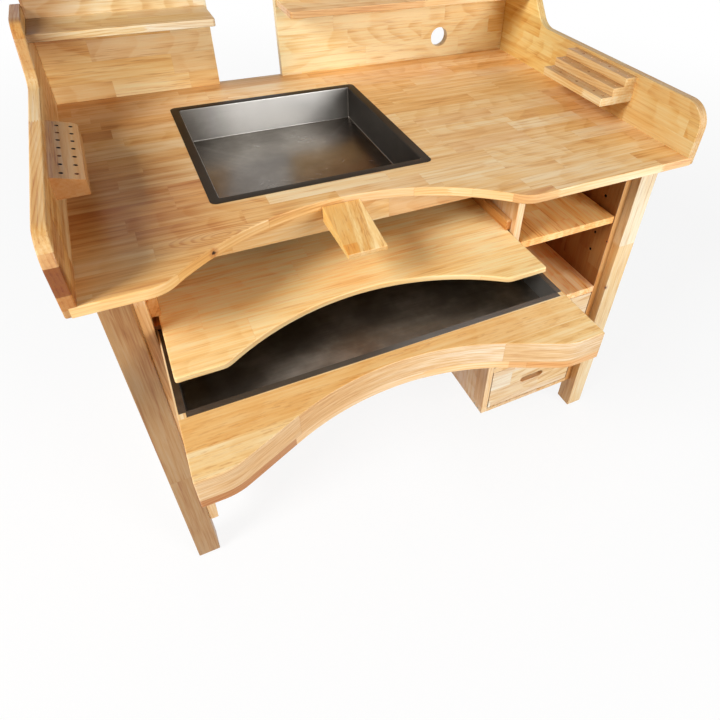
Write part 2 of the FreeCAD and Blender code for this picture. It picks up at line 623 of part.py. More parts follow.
def make_catch_tray():
    """Folded steel tray that stands on the drawer's floor, its four lips resting on the low walls."""
    x0 = TRAY_LEFT + TRAY_WALL + TRAY_CLEARANCE
    x1 = TRAY_RIGHT - TRAY_WALL - TRAY_CLEARANCE
    y0 = TRAY_BOX_Y + TRAY_FRONT_WALL + TRAY_CLEARANCE
    y1 = TRAY_END - TRAY_WALL - TRAY_CLEARANCE
    lip_top = TRAY_TOP + TRAY_SHEET
    tray = box(x0, x1, y0, y1, TRAY_FLOOR_TOP, lip_top)
    lips = [
        box(x0 - TRAY_LIP, x0, y0, y1, TRAY_TOP, lip_top),
        box(x1, x1 + TRAY_LIP, y0, y1, TRAY_TOP, lip_top),
        box(x0, x1, y0 - TRAY_LIP, y0, TRAY_TOP, lip_top),
        box(x0, x1, y1, y1 + TRAY_LIP, TRAY_TOP, lip_top),
    ]
    inside = box(x0 + TRAY_SHEET, x1 - TRAY_SHEET, y0 + TRAY_SHEET, y1 - TRAY_SHEET,
                 TRAY_FLOOR_TOP + TRAY_SHEET, lip_top)
    save("catch_tray", tray.fuse(lips).removeSplitter().cut(inside))


def make_tray_runners():
    """Two runners that the tray drawer slides on."""
    z0 = TRAY_UNDER - TRAY_RUNNER_HEIGHT
    save("left_tray_runner",
         board(KNEE_LEFT, KNEE_LEFT + TRAY_RUNNER_WIDTH, PANEL_Y + BOARD, RUNNER_END, z0, TRAY_UNDER))
    save("right_tray_runner",
         board(KNEE_RIGHT - TRAY_RUNNER_WIDTH, KNEE_RIGHT, PANEL_Y + BOARD, RUNNER_END, z0, TRAY_UNDER))


# ---- pedestal drawers

def finger_slot(x, z):
    """Cutter for the round-ended pull through a drawer front."""
    r = SLOT_HEIGHT / 2
    half = SLOT_LENGTH / 2
    middle = box(x - half + r, x + half - r, PANEL_Y, PANEL_Y + BOARD, z - r, z + r)
    ends = [Part.makeCylinder(r, BOARD, V(x + side * (half - r), PANEL_Y, z), V(0, 1, 0)) for side in (-1, 1)]
    return middle.fuse(ends)


def make_pedestal_drawer(prefix, rest_z, front_z, front_height):
    """Inset drawer: slotted front, two sides, back and a thin floor between them."""
    x0 = PED_LEFT + DRAWER_GAP
    x1 = PED_RIGHT - DRAWER_GAP
    top = front_z + front_height
    front = eased(box(x0, x1, PANEL_Y, PANEL_Y + BOARD, front_z, top), FRONT_ARRIS)
    save(prefix + "_front", front.cut(finger_slot((x0 + x1) / 2, (front_z + top) / 2)))
    y0 = PANEL_Y + BOARD
    y1 = PANEL_Y + DRAWER_LENGTH
    side_top = top - DRAWER_HEADROOM
    left_in = x0 + DRAWER_WALL
    right_in = x1 - DRAWER_WALL
    floor_z = rest_z + DRAWER_FLOOR_RISE
    save(prefix + "_left_side", box(x0, left_in, y0, y1, rest_z, side_top))
    save(prefix + "_right_side", box(right_in, x1, y0, y1, rest_z, side_top))
    save(prefix + "_back", box(left_in, right_in, y1 - DRAWER_WALL, y1, rest_z, side_top))
    save(prefix + "_floor", box(left_in, right_in, y0, y1 - DRAWER_WALL, floor_z, floor_z + DRAWER_FLOOR))


os.makedirs("parts", exist_ok=True)
base_screws = [base_screw(*place) for place in screw_places()]
make_worktop()
make_cheek("left_cheek", LEFT, 1)
make_cheek("right_cheek", RIGHT, -1)
make_back_panels()
make_high_shelf("left_high_shelf", CHEEK_IN_LEFT, CHEEK_IN_LEFT + LEFT_BACK_LENGTH - HIGH_SHELF_SHORT)
make_high_shelf("right_high_shelf", CHEEK_IN_RIGHT,
                CHEEK_IN_LEFT + LEFT_BACK_LENGTH + BACK_GAP + HIGH_SHELF_SHORT)
make_upper_pan()
make_left_rack()
make_right_rack()
make_legs()
make_walls(base_screws)
make_shelf_pins()
make_fixed_boards(base_screws)
save("base_screws", *base_screws)
make_apron()
make_bench_pin()
make_arm_board()
make_arm_runners()
make_tray_drawer()
make_catch_tray()
make_tray_runners()
make_pedestal_drawer("upper_drawer", RAIL_TOP, UPPER_FRONT_Z, UPPER_FRONT_HEIGHT)
make_pedestal_drawer("lower_drawer", BASE_TOP, LOWER_FRONT_Z, LOWER_FRONT_HEIGHT)
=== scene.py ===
import math

import bpy
import numpy as np
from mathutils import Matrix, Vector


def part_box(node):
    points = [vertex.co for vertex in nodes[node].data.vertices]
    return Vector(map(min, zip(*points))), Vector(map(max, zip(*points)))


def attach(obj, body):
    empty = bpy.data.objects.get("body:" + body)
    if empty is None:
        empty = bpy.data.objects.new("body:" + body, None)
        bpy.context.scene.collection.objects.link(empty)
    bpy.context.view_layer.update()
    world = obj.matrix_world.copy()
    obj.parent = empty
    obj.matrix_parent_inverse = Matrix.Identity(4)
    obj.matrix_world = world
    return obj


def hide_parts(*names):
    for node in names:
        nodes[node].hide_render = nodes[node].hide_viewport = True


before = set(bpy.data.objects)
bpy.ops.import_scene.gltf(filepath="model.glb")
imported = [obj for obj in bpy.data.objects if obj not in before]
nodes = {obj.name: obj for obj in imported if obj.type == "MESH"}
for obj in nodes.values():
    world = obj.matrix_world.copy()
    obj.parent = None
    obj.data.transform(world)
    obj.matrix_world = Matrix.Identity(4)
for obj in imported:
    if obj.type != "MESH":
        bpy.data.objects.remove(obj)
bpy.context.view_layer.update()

# ---- Camera
# Stands at the left front, a little above the cheeks, and looks down at the bench through a shifted lens.

SENSOR = 36.0
FOCAL_IN_FRAME_WIDTHS = 0.8120
SHIFT = (-0.0802, -0.0861)
EYE = (-0.4528, -0.9955, 1.3930)
AIM = (49.284, -2.522, -26.655)     # rotation about X, Y and Z in degrees

camera = bpy.data.objects.new("camera", bpy.data.cameras.new("camera"))
camera.data.sensor_width = SENSOR
camera.data.lens = SENSOR * FOCAL_IN_FRAME_WIDTHS
camera.data.shift_x, camera.data.shift_y = SHIFT
camera.data.clip_start = 0.01
camera.location = EYE
camera.rotation_euler = [math.radians(a) for a in AIM]
bpy.context.scene.collection.objects.link(camera)
bpy.context.scene.camera = camera


# ---- Room
# A white sweep round the bench, with a window-like light high on the left, a weaker one at the right front
# and a little light from all round. The floor shows white to the camera and the steel, with a faint shadow.

class Wire:
    """A node socket that Python operators chain into Math nodes."""

    def __init__(self, graph, socket):
        self.graph = graph
        self.socket = socket

    def math(self, operation, *others):
        values = dict(enumerate((self,) + others))
        return self.graph.node("ShaderNodeMath", {"operation": operation}, values)

    def output(self, key):
        """Another output of the same node."""
        return Wire(self.graph, self.socket.node.outputs[key])

    def __add__(self, other):
        return self.math("ADD", other)

    def __sub__(self, other):
        return self.math("SUBTRACT", other)

    def __mul__(self, other):
        return self.math("MULTIPLY", other)

    def __truediv__(self, other):
        return self.math("DIVIDE", other)

    def __rsub__(self, other):
        return self.graph.node("ShaderNodeMath", {"operation": "SUBTRACT"}, {0: other, 1: self})

    def floor(self):
        return self.math("FLOOR")

    def fraction(self):
        return self.math("FRACT")

    def ramped(self, low, high):
        """0 at low and 1 at high, with a soft start and end."""
        return self.graph.node("ShaderNodeMapRange", {"interpolation_type": "SMOOTHSTEP"},
                               {0: self, 1: low, 2: high, 3: 0.0, 4: 1.0})


class Graph:
    """The node tree of a material or a world: node() adds a node and returns an output of it as a Wire."""

    def __init__(self, owner):
        owner.use_nodes = True
        self.owner = owner
        self.tree = owner.node_tree
        self.tree.nodes.clear()

    def node(self, kind, settings=None, values=None, output=0):
        made = self.tree.nodes.new(kind)
        for key, value in (settings or {}).items():
            setattr(made, key, value)
        for key, value in (values or {}).items():
            if isinstance(value, Wire):
                self.tree.links.new(value.socket, made.inputs[key])
            else:
                made.inputs[key].default_value = value
        return Wire(self, made.outputs[output] if made.outputs else None)

    def split(self, vector):
        """The three parts of a vector."""
        first = self.node("ShaderNodeSeparateXYZ", None, {0: vector})
        return first, first.output(1), first.output(2)

    def place(self):
        """X, Y and Z of the surface point, in metres, in the bench's own frame."""
        return self.split(self.node("ShaderNodeTexCoord", output="Object"))

    def facing(self):
        """X, Y and Z of the direction that the surface faces."""
        return self.split(self.node("ShaderNodeTexCoord", output="Normal"))

    def point(self, x, y, z):
        return self.node("ShaderNodeCombineXYZ", None, {0: x, 1: y, 2: z})

    def noise(self, where, scale, detail=2.0, roughness=0.5):
        return self.node("ShaderNodeTexNoise", {"noise_dimensions": "3D"},
                         {"Vector": where, "Scale": scale, "Detail": detail, "Roughness": roughness})

    def chance(self, where):
        """Three random values from 0 to 1 that stay the same all over one cell."""
        return self.split(self.node("ShaderNodeTexWhiteNoise", {"noise_dimensions": "3D"},
                                    {"Vector": where}, "Color"))

    def colours(self, factor, stops):
        """A colour ramp, from stops of position and colour."""
        made = self.node("ShaderNodeValToRGB", None, {0: factor})
        elements = made.socket.node.color_ramp.elements
        while len(elements) < len(stops):
            elements.new(1.0)
        for element, (position, colour) in zip(elements, stops):
            element.position = position
            element.color = colour
        return made

    def tint(self, factor, below, above):
        """Mix of two colours by a factor. A Mix node has its colours at inputs 6 and 7, its result at 2."""
        return self.node("ShaderNodeMix", {"data_type": "RGBA", "clamp_result": True},
                         {0: factor, 6: below, 7: above}, 2)

    def multiplied(self, colour, cast):
        return self.node("ShaderNodeVectorMath", {"operation": "MULTIPLY"}, {0: colour, 1: cast})

    def bump(self, height, strength, distance):
        return self.node("ShaderNodeBump", None,
                         {"Height": height, "Strength": strength, "Distance": distance})

    def finish(self, shader, kind="ShaderNodeOutputMaterial"):
        self.node(kind, None, {"Surface": shader})
        return self.owner

    def surface(self, colour, rough, normal, metallic=0.0):
        """The finished material, with one Principled shader."""
        return self.finish(self.node(
            "ShaderNodeBsdfPrincipled", None,
            {"Base Color": colour, "Metallic": metallic, "Roughness": rough, "Normal": normal}))


def paint(red, green, blue):
    """A colour written in display values from 0 to 255, as the linear colour that nodes take."""
    display = np.array([red, green, blue]) / 255.0
    linear = np.where(display > 0.04045, ((display + 0.055) / 1.055) ** 2.4, display / 12.92)
    return tuple(float(v) for v in linear) + (1.0,)


WHITE = (1, 1, 1, 1)
FLOOR_WHITE = (0.86, 0.86, 0.86, 1)
SHADOW_SHARE = 0.12         # how much of the real floor shows through the white
FLOOR_FADE = (1.6, 4.5)     # metres from the middle over which that share goes
ROOM_LIGHT = 0.15
REACH = 9.0

sky = Graph(bpy.data.worlds.new("room"))
bpy.context.scene.world = sky.owner
ray = sky.node("ShaderNodeLightPath")
mirrored = ray.output("Is Glossy Ray").math("MAXIMUM", ray.output("Is Transmission Ray"))
seen = ray.output("Is Camera Ray").math("MAXIMUM", mirrored)
plain = sky.node("ShaderNodeBackground", None, {"Color": WHITE, "Strength": ROOM_LIGHT})
white = sky.node("ShaderNodeBackground", None, {"Color": WHITE, "Strength": 1.0})
sky.finish(sky.node("ShaderNodeMixShader", None, {0: seen, 1: plain, 2: white}), "ShaderNodeOutputWorld")

floor_paint = Graph(bpy.data.materials.new("floor_white"))
ray = floor_paint.node("ShaderNodeLightPath")
floor_x, floor_y, _ = floor_paint.place()
near = 1 - (floor_x * floor_x + floor_y * floor_y).math("SQRT").ramped(*FLOOR_FADE)
shown = ray.output("Is Camera Ray") * (1 - near * SHADOW_SHARE)
mirrored = ray.output("Is Glossy Ray").math("MAXIMUM", ray.output("Is Transmission Ray"))
shown = shown.math("MAXIMUM", mirrored)
matt = floor_paint.node("ShaderNodeBsdfDiffuse", None, {"Color": FLOOR_WHITE})
glow = floor_paint.node("ShaderNodeEmission", None, {"Color": WHITE, "Strength": 1.0})
floor_look = floor_paint.node("ShaderNodeMixShader", None, {0: shown, 1: matt, 2: glow})
floor_mesh = bpy.data.meshes.new("floor")
floor_mesh.from_pydata([(-REACH, -REACH, 0), (REACH, -REACH, 0), (REACH, REACH, 0), (-REACH, REACH, 0)],
                       [], [(0, 1, 2, 3)])
floor_mesh.materials.append(floor_paint.finish(floor_look))
floor = bpy.data.objects.new("floor", floor_mesh)
bpy.context.scene.collection.objects.link(floor)


def softbox(name, place, look_at, width, height, watts):
    """A rectangular lamp at a place, turned to a point."""
    lamp = bpy.data.lights.new(name, "AREA")
    lamp.shape = "RECTANGLE"
    lamp.size = width
    lamp.size_y = height
    lamp.energy = watts
    holder = bpy.data.objects.new(name, lamp)
    holder.location = place
    away = np.array(look_at, float) - np.array(place, float)
    flat = math.hypot(away[0], away[1])
    holder.rotation_euler = (math.atan2(flat, -away[2]), 0, math.atan2(-away[0], away[1]))
    bpy.context.scene.collection.objects.link(holder)


WINDOW, WINDOW_SIDE, WINDOW_WATTS = (-4.5, -1.3, 3.9), 2.0, 300
FILL, FILL_SIDE, FILL_WATTS = (1.9, -3.8, 1.8), 1.8, 120

softbox("window_left", WINDOW, (0, 0, 0.8), WINDOW_SIDE, WINDOW_SIDE, WINDOW_WATTS)
softbox("front_fill", FILL, (0.1, 0, 0.7), FILL_SIDE, FILL_SIDE, FILL_WATTS)

bpy.context.scene.view_settings.view_transform = "Standard"


# ---- Worktop
# One board of pale rubberwood staves, finger-jointed end to end and glued side by side, sanded and
# satin lacquered. Its bow and edges show the zigzag of the finger joints in the thickness.

CREAM = paint(247, 219, 172)
STRAW = paint(242, 201, 140)
HONEY = paint(233, 180, 108)
AMBER = paint(214, 152, 80)
RUST = paint(182, 116, 58)
STAVE_SPREAD = [(0.0, CREAM), (0.32, STRAW), (0.6, HONEY), (0.82, AMBER), (1.0, RUST)]
ROSY = paint(228, 184, 142)
COPPER = paint(186, 112, 50)
KNOT_RING = paint(176, 92, 44)
KNOT_HEART = paint(52, 28, 16)
UNCHANGED = (1.0, 1.0, 1.0)
STAVE_WIDTH = 0.045
STAVE_LENGTH = 0.26
SHORTEST = 0.6              # of that length, and how much is added at random
LENGTHENED = 0.8
FINGER_PITCH = 0.0042
FINGER_REACH = 0.010
GLUE_WIDTH = 0.0003
RING_PITCH = 0.0062
RING_WANDER = 0.013
PITH_ASIDE = 2.4            # in stave widths
PITH_DEPTH = 0.012
PITH_DEEPER = 0.035
PITH_LEAN = 0.24
FINE_LINES = (22.0, 620.0)  # cells per metre of a noise, along the stave and across it
FIBRES = (8.0, 210.0)
BANDS = (3.5, 75.0)
CLOUDS = (7.0, 30.0)
FLECKS_ACROSS = 360.0
PORES = (60.0, 1100.0)
ARCHES = 6.0
WOOD_BUMP = 0.22
WOOD_BUMP_DEPTH = 0.0006
MIDDLE_TONE = 0.36          # place of a plain stave in the spread, and what moves it
CLOUD_SHARE = 0.44
FIBRE_SHARE = 0.34
RING_SHARE = 0.16


class Grain:
    """Wood of a board: staves along one axis, side by side on a second one, fingers in the third.

    Each stave is a cell (row, column) of the board. Its rings are cylinders about a pith line that lies
    at a random distance under the stave and leans a little, so flat staves show arches and others show
    straight lines. Fibres, brown flecks and pores are noise stretched along the stave.

    axes names the directions along, across and through the staves. seed, width, length and shift lay them
    out. tone and spread say how dark they are and how much they differ, and cast multiplies their colour.
    rosy, fleck, ringed, banded and end_grain are strengths; a higher dash makes shorter flecks. slope and
    swing turn the grain out of the faces. quiet_front gives faces sawn at the front lines, not speckle.
    """

    def __init__(self, name, axes, seed, width=STAVE_WIDTH, length=STAVE_LENGTH, shift=0.0, tone=0.0,
                 spread=1.0, cast=UNCHANGED, rosy=0.4, fleck=0.34, ringed=1.0, dash=15.0, banded=0.18,
                 end_grain=0.22, slope=0.0, swing=0.0, quiet_front=0.0):
        self.graph = graph = Graph(bpy.data.materials.new(name))
        self.place = dict(zip("XYZ", graph.place()))
        self.facing = dict(zip("XYZ", graph.facing()))
        self.x, self.y, self.z = self.place.values()
        along, across, through = (self.place[axis] for axis in axes)
        through = through - along * slope
        self.across = across = across - along * swing
        side_grain = 1 - self.facing[axes[0]].math("ABSOLUTE").ramped(0.7, 0.95)

        rows = across / width + shift
        row = rows.floor()
        start, stretch, _ = graph.chance(graph.point(row, seed, 0.5))
        zigzag = ((through / FINGER_PITCH).fraction() - 0.5).math("ABSOLUTE") * (2 * FINGER_REACH)
        columns = (along + zigzag) / (stretch * (LENGTHENED * length) + SHORTEST * length) + start * 9.0
        column = columns.floor()
        shade, drift, lean = graph.chance(graph.point(row, column, seed))
        seams = self.glue_line(rows - row, width, 2 * GLUE_WIDTH)
        butts = self.glue_line(columns - column, length, 3 * GLUE_WIDTH)
        self.joints = seams.math("MAXIMUM", butts * 0.6)

        aside = (rows - row - 0.5 + (drift - 0.5) * PITH_ASIDE) * width
        under = through + along * ((lean - 0.5) * PITH_LEAN)
        under = under + (shade * 31.0).fraction() * PITH_DEEPER + PITH_DEPTH
        wander = graph.noise(graph.point(along * 4.0, across * 11.0, column), 1.0) - 0.5
        radius = (aside * aside + under * under).math("SQRT") + wander * RING_WANDER
        ring = (radius / RING_PITCH).fraction()
        self.rings = ring.ramped(0.35, 0.9) * (1 - ring.ramped(0.9, 1.0)) * ringed

        self.sawn_front = self.turned("Y", -1, 0.4, 0.7) * quiet_front
        across = across * (1 - self.sawn_front)
        own = drift * 40.0 + seed

        def streaks(cells, detail=2.0, roughness=0.5):
            """Noise drawn out along the stave."""
            where = graph.point(along * cells[0] + own, across * cells[1], through * cells[1])
            return graph.noise(where, 1.0, detail, roughness)

        fine = streaks(FINE_LINES)
        fibres = streaks(FIBRES, 3.0, 0.55)
        bands = streaks(BANDS)
        clouds = streaks(CLOUDS)
        flecks = graph.point(along * dash + own, across * FLECKS_ACROSS + row, through * FLECKS_ACROSS)
        flecks = graph.noise(flecks, 1.0)
        pores = graph.noise(graph.point(along * PORES[0], across * PORES[1], through * PORES[1]), 1.0, 1.0)
        self.fine = fine.ramped(0.42, 0.62)
        self.fibres = fibres.ramped(0.3, 0.7) * 0.7 + fine.ramped(0.3, 0.7) * 0.3
        self.bands = bands.ramped(0.35, 0.65)
        self.clouds = clouds.ramped(0.35, 0.65)
        self.pores = pores.ramped(0.66, 0.78)
        self.flecks = flecks.ramped(0.52, 0.68) * bands.ramped(0.38, 0.62) * side_grain
        self.flecks = self.flecks * (1 - self.sawn_front * 0.7)

        mixed = (shade - 0.5) * (0.5 * spread) + MIDDLE_TONE + tone
        mixed = mixed + (clouds - 0.5) * CLOUD_SHARE + (self.fibres - 0.5) * FIBRE_SHARE
        mixed = mixed + (bands.ramped(0.3, 0.7) - 0.5) * banded + self.rings * RING_SHARE
        colour = graph.tint(lean.ramped(0.5, 0.95) * rosy, graph.colours(mixed, STAVE_SPREAD), ROSY)
        dark = self.flecks * fleck + self.rings * bands.ramped(0.4, 0.7) * 0.22 + self.pores * 0.2
        dark = dark + self.joints * 0.16 + (1 - side_grain) * end_grain
        self.colour = graph.multiplied(graph.tint(dark, colour, COPPER), cast)

    def glue_line(self, within, size, line):
        """1 on the border of a cell of a size, from the place within it."""
        from_border = 0.5 - (within - 0.5).math("ABSOLUTE")
        return 1 - (from_border * size).ramped(0.0, line)

    def turned(self, axis, sign, low=0.5, high=0.8):
        """1 on faces that look along an axis, or against it with a sign of -1."""
        return (self.facing[axis] * sign).ramped(low, high)

    def shaded(self, where, cast):
        """The colour times a cast where a mask is 1."""
        self.colour = self.graph.tint(where, self.colour, self.graph.multiplied(self.colour, cast))
        return self

    def knot(self, centre, size, darkness=1.0):
        """A small dark knot in a reddish ring round a point, by distance to it in three dimensions."""
        graph = self.graph
        here = graph.point(self.x, self.y, self.z)
        there = graph.node("ShaderNodeVectorMath", {"operation": "DISTANCE"}, {0: here, 1: centre}, "Value")
        away = there / size + (graph.noise(here, 260.0) - 0.5) * 0.9
        for strength, (start, end), stain in ((0.5, (0.9, 2.4), KNOT_RING), (1.0, (0.6, 1.0), KNOT_HEART)):
            stained = (1 - away.ramped(start, end)) * (strength * darkness)
            self.colour = graph.tint(stained, self.colour, stain)
        return self

    def bored(self, across, rows, along, first, pitch, count, radius, colours, where=1.0):
        """Walls in rows of bores painted in given colours, by distance from the nearest bore's centre: raw
        wood when the colours are pale, painted shade when they are dark. No two are quite alike.
        """
        graph = self.graph
        for row in rows:
            step = ((self.place[along] - first) / pitch + 0.5).floor().math("MAXIMUM", 0.0)
            step = step.math("MINIMUM", count - 1.0)
            aside = self.place[across] - row
            ahead = self.place[along] - first - step * pitch
            from_centre = (aside * aside + ahead * ahead).math("SQRT")
            deep, _, _ = graph.chance(graph.point(step, row * 100.0, 4.0))
            inside = graph.tint(deep.ramped(0.4, 0.6), *colours)
            in_bore = (1 - from_centre.ramped(radius, radius + 0.0003)) * where
            self.colour = graph.tint(in_bore, self.colour, inside)
        return self

    def arches(self, centre, half_size, strength):
        """Nested pointed ovals, as where a board is sawn close to a ring's crown."""
        along = (self.x - centre[0]) / half_size[0]
        across = (self.y - centre[1]) / half_size[1]
        wander = self.graph.noise(self.graph.point(self.x * 9.0, self.y * 26.0, 0.0), 1.0) - 0.5
        out = (along * along + across * across).math("SQRT") + wander * 0.45
        line = (out * ARCHES).fraction()
        line = line.ramped(0.3, 0.8) * (1 - line.ramped(0.8, 1.0)) * (1 - out.ramped(0.7, 1.05))
        line = line * self.turned("Z", 1) * (self.fibres * 0.6 + 0.4)
        self.colour = self.graph.tint(line * strength, self.colour, COPPER)
        return self

    def material(self):
        height = self.fibres * 0.5 + self.rings * 0.25 - self.pores * 0.8 - self.joints * 0.5
        rough = self.fibres * 0.2 + self.rings * 0.06 + 0.30
        return self.graph.surface(self.colour, rough, self.graph.bump(height, WOOD_BUMP, WOOD_BUMP_DEPTH))


def dress(name, material):
    """Give a frame node its material."""
    slots = nodes[name].data.materials
    slots.clear()
    slots.append(material)


HORN_KNOT = ((-0.385, -0.1925, 0.8305), 0.0052)
CROWN = (-0.365, -0.163)            # middle of the arches in front of the pan
CROWN_HALF = (0.10, 0.027)
SHADE_LEFT_OF = (-0.46, -0.24)        # each pair is where a tone starts and where it is full, or gone
SHADE_BEHIND = (-0.26, -0.08)
SHADE_FADES_BEHIND = (0.05, 0.25)
GOLDEN_LEFT_OF = (-0.4, -0.2)
GOLDEN_IN_FRONT_OF = (-0.05, 0.15)

top_wood = Grain("worktop_staves", "XYZ", 3.0, shift=0.3, rosy=0.3, fleck=0.42, ringed=0.7, quiet_front=1.0)
# Painted shade: the left cheek's shadow over the worktop's left part, darker and redder, broken up by the
# staves' streaks and half as strong towards the back.
shade_and_streaks = (1 - top_wood.x.ramped(*SHADE_LEFT_OF)) * top_wood.y.ramped(*SHADE_BEHIND)
shade_and_streaks = shade_and_streaks * (1 - top_wood.y.ramped(*SHADE_FADES_BEHIND) * 0.5)
shade_and_streaks = shade_and_streaks * (top_wood.bands * 0.14 + top_wood.clouds * 0.24 + 0.6)
golden = (1 - top_wood.x.ramped(*GOLDEN_LEFT_OF)) * (1 - top_wood.y.ramped(*GOLDEN_IN_FRONT_OF))
top_wood.shaded(shade_and_streaks, (0.5, 0.3, 0.14)).shaded(golden, (1.05, 1.0, 0.88))
top_wood.arches(CROWN, CROWN_HALF, 0.8)
# Painted sheen: faces that look to the front are lighter and paler.
top_wood.shaded(top_wood.turned("Y", -1), (1.04, 1.1, 1.22)).knot(*HORN_KNOT)
dress("worktop", top_wood.material())

# ---- Cheeks, back upstand and high shelves
# Cheeks are edge-glued boards with their staves running front to back; the upstand and its two narrow
# shelves have staves that run along them.

STAVE_SEAM_LOW = (0.8607, 0.8617)       # on the left cheek's front end
STAVE_SEAM_HIGH = (0.9083, 0.9093)
FRONT_END = (-0.2585, -0.225)
RISER = (0.955, 0.975)
CHEEK_TOP = (1.036, 1.042)
RIGHT_TOP_SEAM = (0.965, 0.9656)
RIGHT_REAR = (0.1, 0.3)
ABOVE_SHELF = (1.015, 1.018)
PANEL_CORNER_X = (-0.57, -0.40)         # shaded behind the left cheek
PANEL_CORNER_Z = (0.90, 0.97)
CHEEK_SHADOW_ON_SHELF = (-0.58, -0.47)

left_wood = Grain("left_cheek_staves", "YZX", 11.0, shift=0.4, cast=(0.86, 0.84, 0.78), fleck=0.5)
front_end = 1 - left_wood.y.ramped(*FRONT_END)
over_low_seam = left_wood.z.ramped(*STAVE_SEAM_LOW)
dark_stave = front_end * over_low_seam * (1 - left_wood.z.ramped(*STAVE_SEAM_HIGH))
left_wood.shaded(dark_stave, (0.40, 0.21, 0.05)).shaded(front_end * (1 - over_low_seam), (0.74, 0.56, 0.38))
# Painted shade: the inner face is darker, more so along its staves' streaks, and the cheek's highest part is
# darker too.
inner_face = left_wood.turned("X", 1)
left_wood.shaded(inner_face * (left_wood.bands * 0.7 + 0.3), (0.74, 0.6, 0.44))
left_wood.shaded(left_wood.z.ramped(*CHEEK_TOP), (0.55, 0.52, 0.46))
left_wood.shaded(left_wood.z.ramped(*RISER) * (1 - inner_face), (0.8, 0.66, 0.45))
dress("left_cheek", left_wood.material())

right_wood = Grain("right_cheek_staves", "YZX", 12.0, shift=0.549, tone=-0.06, spread=0.45,
                   cast=(0.77, 0.75, 0.6), rosy=0.15)
# Painted light: the top row of staves on the inner face is lifted out of its shade.
right_wood.shaded(right_wood.z.ramped(*RIGHT_TOP_SEAM) * right_wood.turned("X", -1), (1.18, 1.3, 1.5))
right_wood.shaded(right_wood.y.ramped(*RIGHT_REAR), (1.08, 1.16, 1.08))
# Painted shade on the flat top, and a painted sheen on the front end.
right_wood.shaded(right_wood.turned("Z", 1), (0.82, 0.78, 0.8))
right_wood.shaded(right_wood.turned("Y", -1, 0.4), (1.08, 1.14, 1.4))
dress("right_cheek", right_wood.material())

left_back = Grain("left_back_staves", "XZY", 13.0, shift=0.5, fleck=0.5, cast=(1.08, 1.2, 1.2))
left_back.shaded(left_back.turned("Y", 1, 0.4), (1.0, 0.88, 0.8))
left_back.shaded(left_back.z.ramped(*ABOVE_SHELF), (0.92, 1.12, 1.75))
panel_corner = (1 - left_back.x.ramped(*PANEL_CORNER_X)) * left_back.z.ramped(*PANEL_CORNER_Z)
dress("left_back_panel", left_back.shaded(panel_corner, (0.62, 0.46, 0.36)).material())
right_back = Grain("right_back_staves", "XZY", 14.0, shift=0.2, tone=-0.14, cast=(1.02, 1.16, 1.18),
                   rosy=0.2)
dress("right_back_panel", right_back.shaded(right_back.turned("Y", 1, 0.4), (1.06, 0.91, 0.82)).material())

shelf_wood = Grain("left_shelf_staves", "XYZ", 15.0, shift=0.7, cast=(0.76, 0.78, 0.78))
# Painted light on the front face, and the left cheek's shadow painted over the shelf's left end.
shelf_wood.shaded(shelf_wood.turned("Y", -1), (1.45, 1.85, 2.8))
shelf_wood.shaded(1 - shelf_wood.x.ramped(*CHEEK_SHADOW_ON_SHELF), (0.36, 0.26, 0.2))
dress("left_high_shelf", shelf_wood.material())
dress("right_high_shelf", Grain("right_shelf_staves", "XYZ", 16.0, shift=0.3).material())

# ---- Tool racks
# Small blocks bored for burs and files: a wedge on the left cheek, three stepped boards on the right one.

BORE_RADIUS = 0.0031
BORES = 7                           # in each row
LEFT_RACK_ROWS = (-0.5635, -0.543)
LEFT_RACK_FIRST = -0.0384
LEFT_RACK_PITCH = 0.0303
RIGHT_RACK_ROWS = {"bottom": 0.505, "middle": 0.535, "top": 0.565}
RIGHT_RACK_FIRST = -0.0504
RIGHT_RACK_PITCH = 0.0308
# Colours painted in the bores: painted shade in the left rack's, raw wood in the right racks'.
BORE_SHADE = (paint(120, 72, 40), paint(34, 20, 12))
PALE_BORE = (paint(196, 140, 90), paint(150, 92, 50))

rack_wood = Grain("left_rack_wood", "YXZ", 21.0, width=0.3, length=0.9, shift=0.7, tone=0.1, fleck=0.8,
                  ringed=0.5, cast=(0.61, 0.47, 0.34), rosy=0.0, end_grain=0.3)
rack_wood.bored("X", LEFT_RACK_ROWS, "Y", LEFT_RACK_FIRST, LEFT_RACK_PITCH, BORES, BORE_RADIUS, BORE_SHADE)
dress("left_tool_rack", rack_wood.material())
for seed, (level, row_x) in enumerate(RIGHT_RACK_ROWS.items()):
    rack_wood = Grain("rack_" + level + "_wood", "YXZ", 22.0 + seed, width=0.1, length=0.6, shift=0.2,
                      cast=(0.76, 0.76, 0.76), rosy=0.15)
    rack_wood.bored("X", (row_x,), "Y", RIGHT_RACK_FIRST, RIGHT_RACK_PITCH, BORES, BORE_RADIUS, PALE_BORE)
    # Painted light and shade by face: the left side and the front end lighter, the top darker.
    rack_wood.shaded(rack_wood.turned("X", -1), (1.16, 1.28, 1.42))
    rack_wood.shaded(rack_wood.turned("Y", -1), (1.5, 1.9, 2.4))
    rack_wood.shaded(rack_wood.turned("Z", 1), (0.9, 0.82, 0.78))
    dress("right_tool_rack_" + level, rack_wood.material())

# ---- Upper pan
# Brushed sheet steel, folded and welded, and hung by its flat rim in the worktop.

